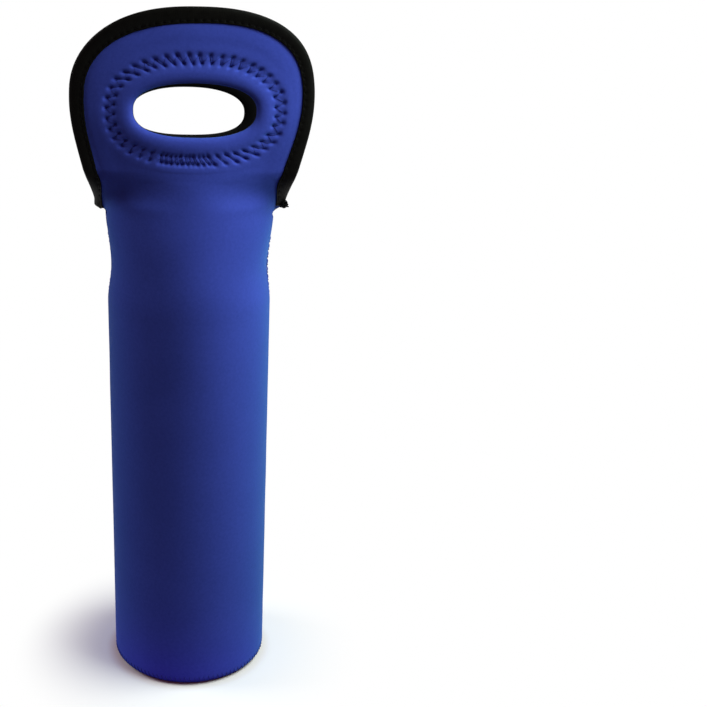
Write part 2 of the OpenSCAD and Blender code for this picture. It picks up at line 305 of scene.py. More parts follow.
def tubes(paths, normals, radius, shares, sides=6):
    """Points and faces of many tubes with equal counts of points along them. shares holds the
    thickness along a tube as shares of its radius."""
    paths = np.asarray(paths, float)
    count, length = paths.shape[:2]
    along = unit(np.gradient(paths, axis=1))
    across = unit(np.cross(along, np.broadcast_to(normals, paths.shape)))
    up = np.cross(across, along)
    turn = np.arange(sides) * 2 * np.pi / sides
    r = radius * shares
    ring = np.cos(turn)[:, None] * up[:, :, None] + np.sin(turn)[:, None] * across[:, :, None]
    points = paths[:, :, None] + r[None, :, None, None] * ring
    faces = []
    for k in range(count):
        start = k * length * sides
        faces += grid(length, sides, start, True).tolist()
        faces.append([start + i for i in range(sides)][::-1])
        faces.append([start + (length - 1) * sides + i for i in range(sides)])
    return points.reshape(-1, 3), faces


def joined(parts):
    """One set of points and faces from several sets."""
    points, faces, count = [], [], 0
    for part_points, part_faces in parts:
        points.append(part_points)
        faces += [[q + count for q in f] for f in part_faces]
        count += len(part_points)
    return np.concatenate(points), faces


# Stitches round the grip hole

# How far needle pits stray, and how far the inner ones lag behind, as a share of the pitch
STRAY, INNER_STRAY, OVERLAP_STRAY = 0.22, 0.2, 0.3
LAG_SHARE = 0.42
# Where the round ends, its last stitches run over its first ones
OVERLAP_ANGLE, OVERLAP_COUNT = math.radians(-121), 5
# The sewn cloth's form across the ring: height of each hill, its distance out from the hole and
# half its width. A height below zero is a ditch.
RING_HILLS = ((0.50, 4.6, 4.2), (-0.40, RING_OUT, 3.6), (0.10, 15.5, 3.2))
# Depth and spread of the pits, and of the grooves that the slanted strands press in
PIT_DEPTH, PIT_SPREAD, GROOVE_DEPTH, GROOVE_SPREAD = 1.0, 1.0, 0.36, 0.40


class Ring:
    """Two rows of needle pits round the hole, with threads between them. A place on it is
    (s, out): the length along the middle of the ring, and the distance out from the hole."""

    def __init__(self, seed):
        rng = np.random.default_rng(seed)
        self.a = np.linspace(-np.pi, np.pi, 4001)
        x, z = oval(self.a, RING_OUT)
        self.s = np.concatenate([[0], np.cumsum(np.hypot(np.diff(x), np.diff(z)))])
        self.length = self.s[-1]
        count = round(self.length / RING_PITCH)
        pitch = self.length / count
        start = np.arange(count) * pitch + rng.uniform(-STRAY, STRAY, count)
        over = (round(self.s_of(OVERLAP_ANGLE) / pitch) + np.arange(OVERLAP_COUNT) + 0.5) * pitch
        over = over + rng.uniform(-OVERLAP_STRAY, OVERLAP_STRAY, OVERLAP_COUNT)
        start = np.concatenate([start, over])
        n = len(start)
        self.outer = np.stack([start, RING_OUT_ROW + rng.uniform(-STRAY, STRAY, n)], 1)
        inner_s = start - LAG_SHARE * pitch + rng.uniform(-INNER_STRAY, INNER_STRAY, n)
        self.inner = np.stack([inner_s, RING_IN_ROW + rng.uniform(-STRAY, STRAY, n)], 1)
        self.deep = rng.uniform(0.8, 1.2, n)
        self.back = self.outer - [pitch, 0]

    def s_of(self, a):
        """Length along the ring at an angle round the hole."""
        return np.interp((a + np.pi) % (2 * np.pi) - np.pi, self.a, self.s)

    def point(self, s, out, grip_x):
        x, z = oval(np.interp(s % self.length, self.s, self.a), out)
        return x + grip_x, z

    def away(self, s, out, pit):
        """How far places lie from a pit, along the ring and across it."""
        along = (s - pit[0] + self.length / 2) % self.length - self.length / 2
        return along, out - pit[1]

    def relief(self, s, out):
        """How far the sewn cloth stands out from the plain sheet."""
        h = sum(height * bump(out, middle, half) for height, middle, half in RING_HILLS)
        for outer, inner, deep in zip(self.outer, self.inner, self.deep):
            for pit in (outer, inner):
                along, across = self.away(s, out, pit)
                h = h - PIT_DEPTH * deep * np.exp(-(along ** 2 + across ** 2) / PIT_SPREAD)
            along, across = self.away(s, out, outer)
            v = inner - outer
            t = np.clip((along * v[0] + across * v[1]) / (v @ v), 0, 1)
            apart = (along - t * v[0]) ** 2 + (across - t * v[1]) ** 2
            h = h - GROOVE_DEPTH * deep * np.exp(-apart / GROOVE_SPREAD)
        return h


# Count, shortest length and longest length of the cloth's slow waves
WAVE_COUNT, WAVE_SHORT, WAVE_LONG = 7, 26, 70


def ripple(u, v, seed, size):
    """Slow unevenness of soft cloth, from a few long waves."""
    rng = np.random.default_rng(seed)
    h = 0
    for _ in range(WAVE_COUNT):
        turn = rng.uniform(0, np.pi)
        length = rng.uniform(WAVE_SHORT, WAVE_LONG)
        phase = rng.uniform(0, 6.3)
        h = h + np.sin((u * np.cos(turn) + v * np.sin(turn)) * 2 * np.pi / length + phase)
    return h / WAVE_COUNT * size


# Pieces of one side

# Counts of steps along the rim of a flap: across its foot, up each flank and over its crown
FOOT, FLANK, CROWN = 150, 60, 250
foot_angle = np.linspace(-1, 1, FOOT + 1) * BOW_ANGLE
foot_x = chord(np.float64(FOLD_Z)) * np.sin(foot_angle) / math.sin(BOW_ANGLE)
right = side_line(FOLD_Z, FLANK + 1)
RIM = np.concatenate([
    np.stack([foot_x, np.full(FOOT + 1, FOLD_Z)], 1),
    right[1:], even(CROWN_LINE, CROWN + 1)[1:],
    (right * [-1, 1])[::-1][1:-1]])
COLS = len(RIM)
# The bound edge, coarsely, to measure distances from it
right = side_line(MOUTH_Z, 120)
BOUND = np.concatenate([right, CROWN_LINE[::10], (right * [-1, 1])[::-1]])

# The tape presses the cloth in by TUCK, which fades out between these distances from the edge
TUCK, TUCK_FROM, TUCK_TO = 0.35, 5.7, 9.0
# The sleeve's foot rolls in toward the base by ROLL_IN, over ROLL_H from ROLL_Z down
ROLL_IN, ROLL_Z, ROLL_H = 1.3, 4.4, 3.2
# The ring's stitches shape the cloth up to RING_REACH out from the hole, and fade in over LIP_FADE
# from its edge. FAR_OUT is any distance past that.
RING_REACH, LIP_FADE, FAR_OUT = 19, 2.4, 30


def edge_distance(x, z):
    """Distance from the bound edge, near enough, on the flap."""
    p = np.stack([np.ravel(x), np.ravel(z)], 1)
    at_once = 4000
    best = [np.sqrt(((p[k:k + at_once, None] - BOUND) ** 2).sum(-1)).min(1)
            for k in range(0, len(p), at_once)]
    return np.concatenate(best).reshape(np.shape(x))


def thickness(z):
    """The sheet alone below the fold, and the sheet with its lining above it."""
    return mix(WALL, FLAP_T, ease(FOLD_Z - 2, FOLD_Z + 5, z))


def tucked(far):
    """How far the tape presses the cloth in at a distance from the bound edge."""
    return TUCK * (1 - ease(TUCK_FROM, TUCK_TO, far))


def rolled(z):
    """How far the sleeve's foot rolls in toward the base."""
    return ROLL_IN * np.clip((ROLL_Z - z) / ROLL_H, 0, 1) ** 2


def rounded_lip(radius, start, count):
    """Outline of the hole's rounded lip, as pairs of distance out from the hole and depth."""
    return [(radius * (1 - math.cos(t)), radius * (1 - math.sin(t)))
            for t in np.linspace(start, math.pi / 2, count)]


def columns(side, outs, deep, rest, rest_deep, rim_deep):
    """Rows of points on a flap as (x, z, out, depth, angle round the hole): at the distances outs
    from the hole and the depths deep, then at the shares rest of the way from there to the rim.
    The first row is one more, out at the rim and rim_deep below the face."""
    grip_x = side["grip_x"]
    a = np.arctan2(RIM[:, 1] - GRIP_Z, RIM[:, 0] - grip_x)
    # About how far the rim lies beyond the last of these distances
    beyond = 14
    rim_x, rim_z = RIM.T
    rows = [(rim_x, rim_z, np.full(COLS, float(FAR_OUT)))]
    for out in outs:
        x, z = oval(a, out)
        rows.append((x + grip_x, z, np.full(COLS, float(out))))
    last_x, last_z, last_out = rows[-1]
    for t in rest:
        rows.append((mix(last_x, rim_x, t), mix(last_z, rim_z, t), last_out + t * beyond))
    x, z, out = (np.stack(v) for v in zip(*rows))
    d = np.concatenate([[rim_deep], deep, np.full(len(rest), rest_deep)])[:, None] + np.zeros(COLS)
    return x, z, out, d, a


def rim_faces(rows, first):
    """Faces round the rim of a flap, between the last row of its points and the first one."""
    here = np.arange(first, COLS)
    following = (here + 1) % COLS
    top = (rows - 1) * COLS
    return np.stack([top + here, top + following, following, here], 1)


def skin_flap(side, ring):
    """Points and map places of the sheet in a flap, in rows from the hole out to the rim."""
    lip = rounded_lip(2.6, 0, 7)
    outs = [8.0, 2.4] + [p[0] for p in lip] + list(np.linspace(3.4, 7, 5)) \
        + list(np.linspace(7.4, 14.6, 18)) + [15.4, 16.2]
    deep = [WALL, WALL] + [p[1] for p in lip] + [0] * 25
    x, z, out, d, a = columns(side, outs, deep, np.linspace(0, 1, 15)[1:], 0, WALL)
    far = edge_distance(x, z)
    tuck = tucked(far) - 0.12 * bump(far, 12, 4)
    sewn = ring.relief(np.broadcast_to(ring.s_of(a), x.shape), out)
    h = np.where(out < RING_REACH, sewn, 0) * ease(0, LIP_FADE, out) - tuck
    h = h + ripple(x, z, side["seed"], 0.35) * ease(0, 8, far)
    # The back of the sheet stays plain
    h = np.where(d < WALL - 0.1, h, 0)
    angle = angle_at(x, z)
    return face(z, angle) + (h - d)[..., None] * normal(z, angle), np.stack([x, z], -1)


def skin_sleeve(side, share):
    """The same for the sleeve's outer face, in columns at the shares share of its half opening,
    running down."""
    heights = np.concatenate([
        np.arange(FOLD_Z - 1, MOUTH_Z - 1, -1.0), np.arange(MOUTH_Z - 1, 200, -1.25),
        np.arange(200, 14, -2.5), np.linspace(13, 1.2, 14)])
    z, across = np.meshgrid(heights, share, indexing="ij")
    a = across * opening(z)
    girth = a * SLEEVE_R
    side_in = (opening(z) - np.abs(a)) * np.where(z < MOUTH_Z, sleeve_radius(z), MOUTH_R)
    # The side seam: a ditch at the edge, a low hill beside it, and pits, which at the left lie half
    # a pitch off those at the right
    pit_z = (z - np.where(across > 0, 0, SEAM_PITCH / 2)) / SEAM_PITCH
    off = (pit_z - np.round(pit_z)) * SEAM_PITCH
    ditch, hill, pit_depth, pit_spread = 0.75, 0.22, 0.55, 0.8
    h = np.where(z < MOUTH_Z - 1, 1, 0) * (
        -ditch * np.exp(-side_in ** 2) + hill * bump(side_in, 4.2, 3.2)
        - pit_depth * np.exp(-(off ** 2 + (side_in - SEAM_ROW) ** 2) / pit_spread))
    h = h - np.where(z >= MOUTH_Z - 1, tucked(side_in), 0)
    # Slow waves, strongest at the waist
    wave = mix(0.22, 0.42, bump(z, 232, 26)) * ripple(girth, z, side["seed"], 1.0)
    h = h + wave * ease(0, 8, side_in) * ease(6, 30, z)
    # The pits of the base's stitches, and the rolled foot
    pitch, pit_depth, pit_spread = 2.6, 0.22, 0.5
    pit = np.round(girth / pitch) * pitch
    h = h - pit_depth * np.exp(-((girth - pit) ** 2 + (z - BASE_STITCH_TOP) ** 2) / pit_spread)
    h = h - rolled(z)
    return face(z, a) + h[..., None] * normal(z, a), np.stack([girth, z], -1)


def skin_inside(side, share):
    """The same for the sleeve's inside, where a coarser grid is enough."""
    heights = np.concatenate([
        np.arange(FOLD_Z - 1, MOUTH_Z - 6, -1.25), np.arange(MOUTH_Z - 6, 8, -5.0), [3.1]])
    z, across = np.meshgrid(heights, share, indexing="ij")
    a = across * opening(z)
    girth = a * SLEEVE_R
    # About half the length of the section
    half_length = 60
    h = ripple(girth, z, side["seed"] + 1, 0.3) * ease(0, 10, (1 - np.abs(across)) * half_length)
    return face(z, a) - (WALL + h)[..., None] * normal(z, a), np.stack([girth, z], -1)


def skin(name, side, ring, blue, black):
    """The blue-faced foam sheet of one side, from the base up to the flap's bound edge."""
    share = foot_angle / BOW_ANGLE
    parts = (skin_flap(side, ring), skin_sleeve(side, share), skin_inside(side, share))
    flap_rows, sleeve_rows, inside_rows = (len(points) for points, _ in parts)
    # Point numbers along the rows where the parts meet
    foot = np.arange(FOOT + 1)
    flap_foot = (flap_rows - 1) * COLS + foot
    sleeve_top = flap_rows * COLS + foot
    inside_top = sleeve_top + sleeve_rows * (FOOT + 1)
    faces = [
        grid(flap_rows, COLS, 0, True), rim_faces(flap_rows, FOOT), strip(flap_foot, sleeve_top),
        grid(sleeve_rows, FOOT + 1, sleeve_top[0]), strip(foot, inside_top),
        grid(inside_rows, FOOT + 1, inside_top[0])]
    # The first rows run over the back of the sheet and round the hole's lip, and are black
    black_rows = 4
    slots = [(np.arange(len(faces[0])) < black_rows * COLS).astype(int)]
    slots += [np.full(len(f), slot) for f, slot in zip(faces[1:], (0, 0, 0, 1, 1))]
    points = np.concatenate([v.reshape(-1, 3) for v, _ in parts])
    uv = np.concatenate([v.reshape(-1, 2) for _, v in parts])
    return make(name, place(side, points), np.concatenate(faces), [blue, black], uv, np.concatenate(slots))


def lining(name, side, ring, black):
    """The black lining on the inner face of the flap, with the ring's stitches in it."""
    start = WALL + 0.12
    lip = rounded_lip(1.5, 0.1, 6)
    outs = [6.0] + [0.25 + p[0] for p in lip] + list(np.linspace(3, 7, 4)) \
        + list(np.linspace(7.6, 14.4, 13)) + [15.5, 16.5]
    deep = [start] + [FLAP_T - p[1] for p in lip] + [FLAP_T] * 19
    x, z, out, d, a = columns(side, outs, deep, np.linspace(0, 1, 13)[1:], FLAP_T, start)
    z = np.maximum(z, FOLD_Z + 0.4)
    far = edge_distance(x, z)
    sewn = ring.relief(np.broadcast_to(ring.s_of(a), x.shape), out)
    h = np.where(out < RING_REACH, sewn, 0) * 0.7 * ease(0, LIP_FADE, out)
    h = h - tucked(far) + ripple(x, z, side["seed"] + 2, 0.3) * ease(0, 8, far)
    # Its foot thins out onto the sheet
    h = h * ease(FOLD_Z, FOLD_Z + 6, z) - (LINING_T - 0.5) * (1 - ease(FOLD_Z, FOLD_Z + 4.5, z))
    h = np.where(d > start + 0.05, h, 0)
    angle = angle_at(x, z)
    points = face(z, angle) - (d + h)[..., None] * normal(z, angle)
    faces = np.concatenate([grid(len(x), COLS, 0, True), rim_faces(len(x), 0)])
    return make(name, place(side, points), faces, [black], np.stack([x, z], -1).reshape(-1, 2))


def tape_path(low_right, low_left):
    """The bound edge from its right end over the crown to its left end, in (x, z)."""
    step = 0.55

    def flank(low):
        return side_line(low, round((WIDEST_Z - low) / step))

    line = [flank(low_right), even(CROWN_LINE, 270)[1:-1], (flank(low_left) * [-1, 1])[::-1]]
    return np.concatenate(line)


def tape_frame(line, wide, i):
    """Points and normals of the sheet at the lengths wide in from each point of the bound edge,
    one row for each. i holds the same lengths on a tape of even width."""
    run = unit(np.gradient(line, axis=0))
    in_x, in_z = -run[:, 1], run[:, 0]
    x, z = line[:, 0], line[:, 1]
    w = np.maximum(wide, 0)
    # Beside the flap, along the section from its edge
    flank = z <= WIDEST_Z + 1e-6
    flank_z = z[:, None] + w * np.where(flank, in_z, 0)[:, None]
    flank_a = np.sign(x)[:, None] * walk_in(flank_z, w / np.abs(in_x)[:, None].clip(0.5))
    # Over the crown, across the nearly flat flap
    step_a = 0.01
    a = angle_at(x, z)
    step = face(z, a + step_a) - face(z, a - step_a)
    slant = np.linalg.norm(step, axis=-1) / np.maximum(np.abs(step[:, 0]), 1e-9)
    crown_z = z[:, None] + w * in_z[:, None]
    crown_a = angle_at(x[:, None] + w * (in_x / slant)[:, None], crown_z)
    z = np.where(flank[:, None], flank_z, crown_z)
    a = np.where(flank[:, None], flank_a, crown_a)
    points, normals = face(z, a), normal(z, a)
    # Beyond the edge, straight on
    first = np.argmin(np.abs(i))
    edge = points[:, first]
    inside = points[:, np.argmin(np.abs(i - 1.0))] - edge
    points = points + np.minimum(i, 0)[None, :, None] * unit(inside)[:, None]
    return points, normals


# Section of the tape on the flap's outer face, from its inner edge to the fold: how far in from the
# bound edge, and how deep. A depth below zero stands out from the cloth.
TAPE_FACE = [(6.25, 0.42), (6.42, 0.02), (6.25, -0.32), (5.9, -0.44), (5.5, -0.42), (5.15, -0.40),
             (4.8, -0.44), (4.3, -0.56), (3.6, -0.76), (2.8, -0.90), (1.9, -0.95), (1.0, -0.92),
             (0.3, -0.78), (-0.25, -0.46), (-0.62, 0.05), (-0.82, 0.7)]
# The tape's hidden side, sunk into the cloth
TAPE_BACK = [(6.1, 0.3), (3.4, 0.3), (0.25, 0.3)]
# The row of stitches in from the bound edge, their pitch, and how far their thread stands out
TAPE_ROW, TAPE_PITCH, TAPE_THREAD_OUT = 5.15, 3.7, 0.44


def tape_pits(run, seed):
    """Lengths along the tape at which its needle pits lie."""
    rng = np.random.default_rng(seed)
    first, stray = 1.6, 0.2
    at = np.arange(first, run[-1], TAPE_PITCH)
    return at + rng.uniform(-stray, stray, len(at))


# Width of the front tape as a share of its even width, from its right end over the crown to its
# left end, as it was sewn. The back one is even.
TAPE_SHARES = {"front": (1.02, 0.98, 0.86, 0.84, 0.92, 1.04, 1.12, 1.12, 1.06, 0.88, 0.74), "back": (1, 1)}


def tape_share(which, run):
    shares = TAPE_SHARES[which]
    return np.interp(run, np.linspace(0, run[-1], len(shares)), shares)


def binding(name, side, line, share, tape, seed):
    """Tape folded over the flap's edge: a rounded fold, dimpled along its row of stitches."""
    front, back = np.array(TAPE_FACE), np.array(TAPE_BACK)
    i = np.concatenate([front[:, 0], [-EDGE_IN], front[::-1, 0], back[:, 0], [0.02], back[::-1, 0]])
    wide = i * np.where(i > 0, share[:, None], 1)
    t = thickness(line[:, 1])[:, None]
    d = np.concatenate([np.broadcast_to(front[:, 1], (len(line), len(front))), t / 2, t - front[::-1, 1],
                        t - back[:, 1], t / 2, np.broadcast_to(back[::-1, 1], (len(line), len(back)))], 1)
    run = run_along(line)
    near_pit = np.exp(-((run[:, None] - tape_pits(run, seed)) / 0.62) ** 2).sum(1)
    at_row = np.exp(-((i - TAPE_ROW) / 0.75) ** 2)
    # 1 on the flap's outer face, -1 on its inner one and 0 on the hidden side
    hidden = 2 * len(back) + 1
    faceward = np.concatenate([np.ones(len(front)), [0], -np.ones(len(front)), np.zeros(hidden)])
    dimple, uneven = 0.42, 0.12
    d = d + dimple * near_pit[:, None] * at_row * faceward
    d = d - uneven * faceward * ripple(run[:, None], i * 3 + seed, seed, 1.0)
    points, normals = tape_frame(line, wide, i)
    points = points - d[..., None] * normals
    cols = len(i)
    faces = grid(len(line), cols, 0, True).tolist()
    faces.append(list(range(cols)))
    faces.append([(len(line) - 1) * cols + k for k in range(cols)][::-1])
    uv = np.stack(np.broadcast_arrays(i, run[:, None]), -1)
    return make(name, place(side, points), faces, [tape], uv)


def on_tape(line, run, share, s, i, d):
    """Points over the tape at the lengths s along it and i in from its edge, at the depths d."""
    x = np.interp(s, run, line[:, 0])
    z = np.interp(s, run, line[:, 1])
    flat = np.stack([x, z], 1)
    order = np.argsort(s)
    across = np.array([0.0, 1.0, i])
    points, normals = tape_frame(flat[order], across * np.interp(s, run, share)[order, None], across)
    p, n = np.empty((len(s), 3)), np.empty((len(s), 3))
    p[order], n[order] = points[:, 2], normals[:, 2]
    return p - np.asarray(d)[:, None] * n, n


def binding_thread(name, side, line, share, thread, seed):
    """Straight stitches in the tape, one strand between each two pits, on both faces."""
    run = run_along(line)
    pits = tape_pits(run, seed)
    t = np.linspace(0.1, 0.9, 6)
    s = (pits[:-1, None] + t * np.diff(pits)[:, None]).ravel()
    sink = np.tile(0.34 * (2 * np.abs(t - 0.5)) ** 3, len(pits) - 1)
    outer = -TAPE_THREAD_OUT + sink
    inner = thickness(np.interp(s, run, line[:, 1])) + TAPE_THREAD_OUT - sink
    shape = (len(pits) - 1, len(t), 3)
    parts = []
    for d in (outer, inner):
        p, n = on_tape(line, run, share, s, TAPE_ROW, d)
        parts.append(tubes(p.reshape(shape), n.reshape(shape), 0.21, strand(len(t), 0.95)))
    points, faces = joined(parts)
    return make(name, place(side, points), faces, [thread])


def grip_thread(name, side, ring, outer, inner):
    """The ring's slanted strands, from pit to pit: blue on the outer face, black on the lining."""
    t = np.linspace(0, 1, 8)
    sunk = 0.12
    parts, slots = [], []
    # Pits at both ends, radius of the strands, and how far they arch between them
    lanes = [(ring.outer, ring.inner, 0.27, 0.20), (ring.inner, ring.back, 0.17, 0.12)]
    for inner_face in (False, True):
        for a, b, radius, arch in lanes:
            places = a[:, None] + (b - a)[:, None] * t[:, None]
            s, out = places[..., 0], places[..., 1]
            x, z = ring.point(s, out, side["grip_x"])
            angle = angle_at(x, z)
            n = normal(z, angle)
            h = ring.relief(s, out)
            rise = arch * np.sin(np.pi * t) - sunk
            if inner_face:
                p = face(z, angle) - (FLAP_T + 0.7 * h + rise)[..., None] * n
            else:
                p = face(z, angle) + (h + rise)[..., None] * n
            parts.append(tubes(p, n, radius, strand(len(t))))
            slots += [int(inner_face)] * len(parts[-1][1])
    points, faces = joined(parts)
    return make(name, place(side, points), faces, [outer, inner], slots=slots)


# Materials

WHITE = (1, 1, 1)


def math_node(tree, operation, a, b=None):
    node = tree.nodes.new("ShaderNodeMath")
    node.operation = operation
    for socket, v in zip(node.inputs, (a, b)):
        if isinstance(v, (int, float)):
            socket.default_value = v
        elif v is not None:
            tree.links.new(v, socket)
    return node.outputs[0]


def times(tree, a, b):
    return math_node(tree, "MULTIPLY", a, b)


def plus(tree, a, b):
    return math_node(tree, "ADD", a, b)


def waves(tree, length, wave):
    """Waves of the length wave along a length."""
    return math_node(tree, "SINE", times(tree, length, 2 * math.pi / wave))


def noise(tree, scale, detail):
    """Noise in the piece's own frame, where scale is the number of spots in a metre."""
    node = tree.nodes.new("ShaderNodeTexNoise")
    node.inputs["Scale"].default_value = scale
    node.inputs["Detail"].default_value = detail
    node.inputs["Roughness"].default_value = 0.55
    tree.links.new(tree.nodes.new("ShaderNodeTexCoord").outputs["Object"], node.inputs["Vector"])
    return node.outputs["Fac"]


def cloth_map(tree):
    """The two lengths of the cloth's own map, in millimetres."""
    uv = tree.nodes.new("ShaderNodeUVMap")
    uv.uv_map = "cloth"
    split = tree.nodes.new("ShaderNodeSeparateXYZ")
    tree.links.new(uv.outputs["UV"], split.inputs[0])
    return split.outputs["X"], split.outputs["Y"]


def shader(name, colour, roughness, specular):
    """A new material, with its node tree and its main node."""
    m = bpy.data.materials.new(name)
    m.use_nodes = True
    main = m.node_tree.nodes["Principled BSDF"]
    main.inputs["Roughness"].default_value = roughness
    main.inputs["Specular IOR Level"].default_value = specular
    main.inputs["Base Color"].default_value = (*colour, 1)
    return m, m.node_tree, main


def shaded(tree, main, fac, low, high):
    """The base colour, from low to high as fac rises."""
    ramp = tree.nodes.new("ShaderNodeValToRGB")
    for element, colour, position in zip(ramp.color_ramp.elements, (low, high), (0.3, 0.7)):
        element.color = (*colour, 1)
        element.position = position
    tree.links.new(fac, ramp.inputs["Fac"])
    tree.links.new(ramp.outputs["Color"], main.inputs["Base Color"])


def bumped(tree, main, height, strength, depth):
    """Fine relief of the given depth in millimetres."""
    relief = tree.nodes.new("ShaderNodeBump")
    relief.inputs["Strength"].default_value = strength
    relief.inputs["Distance"].default_value = depth * MM
    tree.links.new(height, relief.inputs["Height"])
    tree.links.new(relief.outputs["Normal"], main.inputs["Normal"])


# Width of a column of loops and height of a row in the knit
WALE, COURSE = 0.72, 0.55


def jersey(name, colour, vary, roughness, specular, gloss_tint, sheen, sheen_tint):
    """Fine knit: columns of loops that lean both ways, with slight unevenness of the dye."""
    m, tree, main = shader(name, colour, roughness, specular)
    main.inputs["Specular Tint"].default_value = (*gloss_tint, 1)
    main.inputs["Sheen Weight"].default_value = sheen
    main.inputs["Sheen Roughness"].default_value = 0.45
    main.inputs["Sheen Tint"].default_value = (*sheen_tint, 1)
    across, up = cloth_map(tree)
    lean = math_node(tree, "PINGPONG", times(tree, across, 1 / WALE), 0.5)
    row = plus(tree, times(tree, up, 1 / COURSE), times(tree, lean, 1.1))
    knit = plus(tree, times(tree, waves(tree, row, 1), 0.5), waves(tree, lean, 1))
    bumped(tree, main, plus(tree, times(tree, knit, 0.35), noise(tree, 1500, 2.0)), strength=0.6, depth=0.05)
    speck = noise(tree, 700, 3.0)
    both = plus(tree, times(tree, speck, 0.6), times(tree, noise(tree, 28, 2.0), 0.4))
    shaded(tree, main, both, [c * (1 - vary) for c in colour], [c * (1 + vary) + 0.002 for c in colour])
    rough = tree.nodes.new("ShaderNodeMapRange")
    rough.inputs["To Min"].default_value = roughness - 0.07
    rough.inputs["To Max"].default_value = roughness + 0.07
    tree.links.new(speck, rough.inputs["Value"])
    tree.links.new(rough.outputs[0], main.inputs["Roughness"])
    return m


def woven_tape(name, colour):
    """Smooth elastic tape with a fine rib across it."""
    m, tree, main = shader(name, colour, roughness=0.5, specular=0.03)
    across, along = cloth_map(tree)
    ribs, cords = waves(tree, along, 0.8), waves(tree, across, 0.9)
    both = plus(tree, times(tree, ribs, 0.3), times(tree, cords, 0.2))
    bumped(tree, main, plus(tree, both, noise(tree, 1200, 2.0)), strength=0.7, depth=0.08)
    shaded(tree, main, noise(tree, 260, 3.0), [c * 0.8 for c in colour], [c * 1.25 for c in colour])
    return m


def spun(name, colour, specular):
    """Polyester sewing thread with its fine twist."""
    m, tree, main = shader(name, colour, roughness=0.55, specular=specular)
    bumped(tree, main, noise(tree, 2600, 2.0), strength=0.8, depth=0.06)
    shaded(tree, main, noise(tree, 900, 2.0), [c * 0.85 for c in colour], [c * 1.15 for c in colour])
    return m


blue = jersey("blue_jersey", (0.044, 0.067, 0.42), vary=0.09, roughness=0.6, specular=0.02,
              gloss_tint=(0.2, 0.9, 1.0), sheen=0.4, sheen_tint=(0.05, 0.5, 0.8))
black = jersey("black_jersey", (0.007, 0.007, 0.0075), vary=0.15, roughness=0.9, specular=0.03,
               gloss_tint=WHITE, sheen=0.02, sheen_tint=WHITE)
tape = woven_tape("binding_tape", (0.0045, 0.0045, 0.0040))
blue_thread = spun("blue_thread", (0.026, 0.042, 0.26), specular=0.06)
black_thread = spun("black_thread", (0.0045, 0.0045, 0.0045), specular=0.04)


# The two sides

def bend(obj):
    """Bakes the piece's placing into its mesh."""
    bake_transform(obj)


for which, side in SIDES.items():
    ring = Ring(side["seed"])
    line = tape_path(*side["tape_ends"])
    share = tape_share(which, run_along(line))
    tape_seed = side["seed"] + 5
    body = skin(which + "_sheet", side, ring, blue, black)
    inner = lining(which + "_flap_lining", side, ring, black)
    edge = binding(which + "_edge_tape", side, line, share, tape, tape_seed)
    edge_stitch = binding_thread(which + "_tape_stitches", side, line, share, black_thread, tape_seed)
    ring_stitch = grip_thread(which + "_ring_stitches", side, ring, blue_thread, black_thread)
    for obj in (body, inner, edge, edge_stitch, ring_stitch):
        bend(obj)
    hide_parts(which + "_panel", which + "_flap")
    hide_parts(which + "_lining")
    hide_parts(which + "_binding", which + "_binding_ends")
    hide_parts(which + "_binding_stitching")
    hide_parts(which + "_grip_stitching")


# Seams of the sleeve

def on_sleeve(z, turn, out):
    """Points at the angle turn round the sleeve from its right side, standing out by out."""
    r = sleeve_radius(z) + out
    return np.stack([r * np.cos(turn), r * np.sin(turn), np.broadcast_to(z, np.shape(r))], -1)


def outward(z, turn):
    """Outward direction there."""
    return on_sleeve(z, turn, 1.0) - on_sleeve(z, turn, 0.0)


def side_thread(name, sign, proud):
    """Zigzag thread that joins the front and back panels up one side. Near the top it stands
    out by proud."""
    low, high = 8.0, MOUTH_Z - 9
    count = int((high - low) / SEAM_PITCH)
    first = math.ceil(low / SEAM_PITCH) * SEAM_PITCH
    # sign is 1 on the right, where the front's pits lie on the whole pitches
    z_front = first + np.arange(count) * SEAM_PITCH + (0 if sign > 0 else SEAM_PITCH / 2)
    z_back = z_front + SEAM_PITCH / 2
    t = np.linspace(0, 1, 8)
    half = SEAM_ROW / SLEEVE_R
    arch, sunk = 0.42, 0.50
    paths, ups = [], []
    for za, zb, a, b in ((z_front, z_back, -half, half), (z_back[:-1], z_front[1:], half, -half)):
        z = mix(za[:, None], zb[:, None], t)
        turn = np.broadcast_to(mix(a, b, t), z.shape)
        lift = arch * np.sin(np.pi * t) - sunk + proud * ease(205, 226, z)
        paths.append(on_sleeve(z, turn, lift))
        ups.append(outward(z, turn))
    points, faces = tubes(np.concatenate(paths), np.concatenate(ups), 0.32, strand(len(t)))
    return make(name, points * [sign * MM, MM, MM], faces, [blue_thread])


